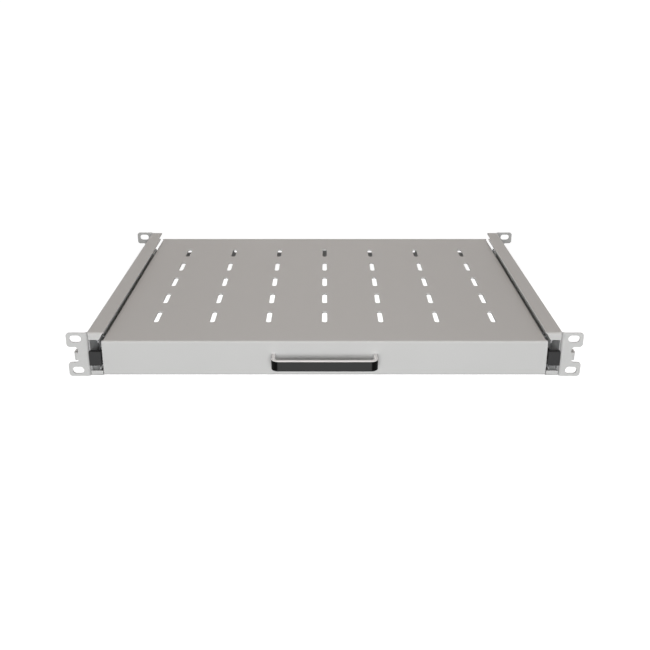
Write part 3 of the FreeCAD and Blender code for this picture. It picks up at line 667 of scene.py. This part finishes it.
def mesh_from(bm, name):
    mesh = bpy.data.meshes.new(name)
    bm.to_mesh(mesh)
    bm.free()
    return mesh


def put_in_scene(name, data):
    item = bpy.data.objects.new(name, data)
    bpy.context.scene.collection.objects.link(item)
    return item


def set_fasteners(name, bm, direction, seats):
    """Copies of one fastener at each seat, the head turned to a direction, as one object."""
    turn = Vector(UP).rotation_difference(Vector(direction)).to_matrix()
    bmesh.ops.rotate(bm, cent=ORIGIN, matrix=turn, verts=bm.verts)
    first = bm.verts[:] + bm.edges[:] + bm.faces[:]
    for seat in seats[1:]:
        copy = bmesh.ops.duplicate(bm, geom=first)["geom"]
        bmesh.ops.translate(bm, vec=seat, verts=vertices(copy))
    bmesh.ops.translate(bm, vec=seats[0], verts=vertices(first))
    settle_order(bm)
    mesh = mesh_from(bm, name)
    mesh.polygons.foreach_set("use_smooth", [True] * len(mesh.polygons))
    mesh.set_sharp_from_angle(angle=math.radians(SHARP_ANGLE))
    mesh.materials.append(FINISHES["fastener_steel"])
    return put_in_scene(name, mesh)


def rivet_seats(node, outward):
    """Seats of a row of rivets, found from the node's box: outward is the head's sign along X."""
    low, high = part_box(node)
    head_top = high[0] if outward > 0 else low[0]
    seat_x = head_top - outward * RIVET_HEAD_HEIGHT
    first, last = low[1] + RIVET_HEAD_RADIUS, high[1] - RIVET_HEAD_RADIUS
    step = (last - first) / (RIVETS_IN_ROW - 1)
    height = 0.5 * (low[2] + high[2])
    return [(seat_x, first + step * place, height) for place in range(RIVETS_IN_ROW)]


def add_rivets():
    """Rail rivets have their heads outside the rail, tray rivets inside the tray's flange."""
    for side, outward in (("left", -1.0), ("right", 1.0)):
        node = side + "_rail_rivets"
        seats = rivet_seats(node, outward)
        rivets = set_fasteners(side + "_rail_blind_rivets", rail_rivet(), (outward, 0.0, 0.0), seats)
        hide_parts(node)
        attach(rivets, "rack_rails")
        node = side + "_tray_rivets"
        seats = rivet_seats(node, -outward)
        rivets = set_fasteners(side + "_tray_blind_rivets", tray_rivet(), (-outward, 0.0, 0.0), seats)
        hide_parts(node)
        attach(rivets, "shelf")


def add_handle_screws():
    """Two screws that hold the handle from behind the front panel."""
    low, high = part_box("handle_screws")
    seat_y = high[1] - SCREW_HEAD_HEIGHT
    height = 0.5 * (low[2] + high[2])
    seats = [(low[0] + SCREW_HEAD_RADIUS, seat_y, height), (high[0] - SCREW_HEAD_RADIUS, seat_y, height)]
    screws = set_fasteners("handle_pan_screws", pan_screw(seat_y - low[1]), (0.0, 1.0, 0.0), seats)
    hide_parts("handle_screws")
    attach(screws, "shelf")


# Studio
def background_share(tree):
    """1 for rays that show the background: seen straight, mirrored or through glass."""
    path = add(tree, "LightPath").outputs
    seen = either(tree, path["Is Camera Ray"], path["Is Glossy Ray"])
    return either(tree, seen, path["Is Transmission Ray"])


def pale_floor():
    """Floor that looks pale without lighting the shelf from below."""
    bm = bmesh.new()
    bmesh.ops.create_grid(bm, x_segments=1, y_segments=1, size=FLOOR_HALF_SIZE)
    bmesh.ops.translate(bm, vec=(0.0, 0.0, cad_low[2] - FLOOR_DROP), verts=bm.verts)
    mesh = mesh_from(bm, "floor")
    material, tree, shader = finish_material("pale_floor")
    shader.inputs["Base Color"].default_value = FLOOR_TONE
    shader.inputs["Roughness"].default_value = FLOOR_ROUGHNESS
    shader.inputs["Emission Color"].default_value = WHITE
    glow = number_math(tree, "MULTIPLY", background_share(tree), FLOOR_GLOW)
    join(tree, glow, shader.inputs["Emission Strength"])
    mesh.materials.append(material)
    floor = put_in_scene("floor", mesh)


def white_sky():
    """Faint warm light from all round, seen as plain white."""
    world = bpy.data.worlds.new("studio")
    world.use_nodes = True
    tree = world.node_tree
    soft = tree.nodes["Background"]
    soft.inputs["Color"].default_value = SKY_TONE
    soft.inputs["Strength"].default_value = SKY_LEVEL
    seen = add(tree, "Background")
    seen.inputs["Color"].default_value = WHITE
    mix = add(tree, "MixShader")
    factor, first, second = mix.inputs
    join(tree, background_share(tree), factor)
    join(tree, soft.outputs["Background"], first)
    join(tree, seen.outputs["Background"], second)
    join(tree, mix.outputs["Shader"], tree.nodes["World Output"].inputs["Surface"])
    bpy.context.scene.world = world


def soft_lamp(name, place, aim, size, power, colour):
    light = bpy.data.lights.new(name, "AREA")
    light.color = colour
    light.shape = "RECTANGLE"
    light.size, light.size_y = size
    light.energy = power
    lamp = put_in_scene(name, light)
    lamp.location = place
    lamp.rotation_euler = (Vector(aim) - Vector(place)).to_track_quat("-Z", "Y").to_euler()


def camera():
    optics = bpy.data.cameras.new("camera")
    optics.sensor_width = CAMERA_SENSOR
    optics.lens = CAMERA_LENS
    optics.shift_x, optics.shift_y = CAMERA_SHIFT
    viewer = put_in_scene("camera", optics)
    viewer.location = CAMERA_PLACE
    viewer.rotation_euler = (math.radians(90.0 - CAMERA_PITCH), 0.0, 0.0)
    bpy.context.scene.camera = viewer


dress_nodes()
add_rivets()
add_handle_screws()
camera()
pale_floor()
white_sky()
for lamp in LAMPS:
    soft_lamp(*lamp)
bpy.context.scene.view_settings.view_transform = "Standard"
